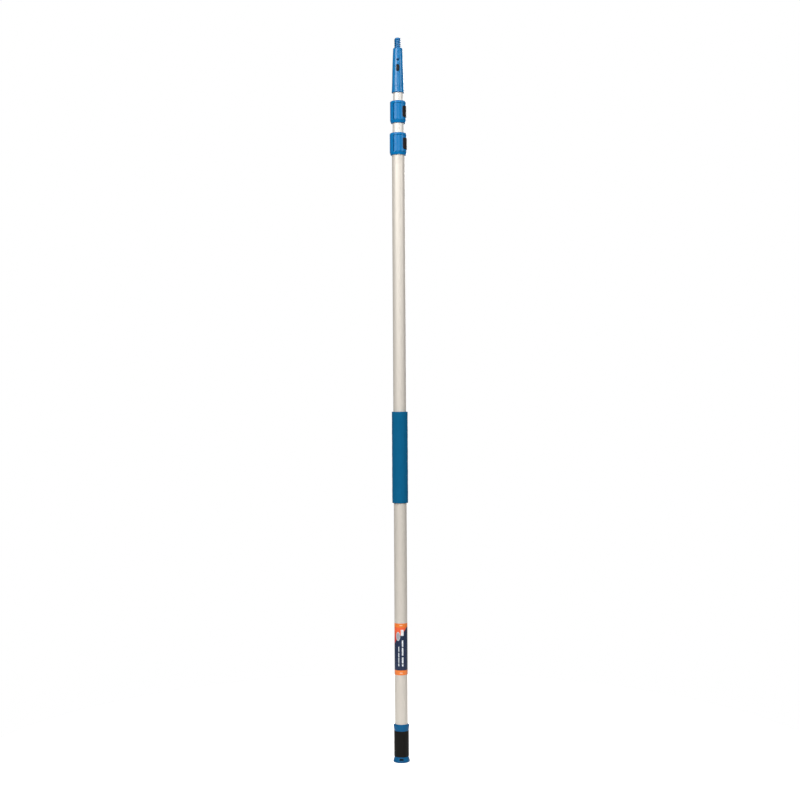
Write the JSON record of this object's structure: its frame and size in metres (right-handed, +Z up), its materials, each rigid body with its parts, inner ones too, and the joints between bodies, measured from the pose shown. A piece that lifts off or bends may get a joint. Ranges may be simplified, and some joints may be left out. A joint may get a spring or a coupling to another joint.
{
  "type": "telescopic window cleaning pole",
  "caption": "Telescopic cleaning pole of nested tubes with wrap-round lever clamps, foam and rubber grips, and a tapered locking cone with a threaded tip.",
  "frame": {"origin": "centre of the end cap's bottom face", "axes": "+Z up the pole to the threaded tip; -Y is the front, where the lock button and the levers' panels face"},
  "size_m": [0.0487, 0.048, 2.04],
  "materials": {
    "tube_metal": "satin anodised",
    "blue_plastic": "moulded, semi-gloss",
    "cone_plastic": "moulded, semi-gloss",
    "black_rubber": "matt",
    "blue_foam": "closed-cell foam, matt",
    "black_plastic": "matt",
    "guide_plastic": "low-friction plastic",
    "steel": "plated",
    "label_film": "printed film, plain bands"
  },
  "bodies": {
    "grip_section": {"outer_tube": "tube_metal", "end_cap": "blue_plastic", "end_cap_rivets": "steel", "rubber_grip": "black_rubber", "grip_ring": "blue_plastic", "label_sleeve": "label_film", "foam_grip": "blue_foam", "lower_collar": "blue_plastic", "lower_collar_screws": "steel", "lower_slide_bush": "guide_plastic", "lower_hinge_pin": "steel"},
    "lower_lever": {"lower_lever": "blue_plastic", "lower_thumb_pad": "black_rubber"},
    "lower_brake": {"lower_brake_shoe": "black_plastic"},
    "middle_section": {"middle_tube": "tube_metal", "middle_guide": "guide_plastic", "upper_collar": "blue_plastic", "upper_collar_screws": "steel", "upper_slide_bush": "guide_plastic", "upper_hinge_pin": "steel"},
    "upper_lever": {"upper_lever": "blue_plastic", "upper_thumb_pad": "black_rubber"},
    "upper_brake": {"upper_brake_shoe": "black_plastic"},
    "tip_section": {"inner_tube": "tube_metal", "inner_guide": "guide_plastic", "locking_cone": "cone_plastic", "cone_rivets": "steel", "button_spring": "steel"},
    "lock_button": {"lock_button": "black_plastic"}
  },
  "joints": [
    {"name": "middle_slide", "type": "slide", "parent": "grip_section", "child": "middle_section", "axis": [0, 0, 1], "range_m": [0, 1.604]},
    {"name": "inner_slide", "type": "slide", "parent": "middle_section", "child": "tip_section", "axis": [0, 0, 1], "range_m": [0, 1.6905]},
    {"name": "lower_lever_swing", "type": "hinge", "parent": "grip_section", "child": "lower_lever", "pos_m": [-0.01005, -0.01889, 1.74], "axis": [0, 0, -1], "range_deg": [0, 100]},
    {"name": "upper_lever_swing", "type": "hinge", "parent": "middle_section", "child": "upper_lever", "pos_m": [-0.00937, -0.01761, 1.83], "axis": [0, 0, -1], "range_deg": [0, 100]},
    {"name": "lower_brake_release", "type": "slide", "parent": "grip_section", "child": "lower_brake", "axis": [-0.4695, -0.8829, 0], "range_m": [0, 0.0003]},
    {"name": "upper_brake_release", "type": "slide", "parent": "middle_section", "child": "upper_brake", "axis": [-0.4695, -0.8829, 0], "range_m": [0, 0.0003]},
    {"name": "lock_button_press", "type": "slide", "parent": "tip_section", "child": "lock_button", "axis": [0, 1, 0], "range_m": [0, 0.003], "stiffness_N_per_m": 900, "springref_m": -0.002, "deforming": ["button_spring"]}
  ],
  "couplings": [
    {"joint": "lower_brake_release", "follows": "lower_lever_swing", "m_per_rad": 0.00014324},
    {"joint": "upper_brake_release", "follows": "upper_lever_swing", "m_per_rad": 0.00014324}
  ]
}
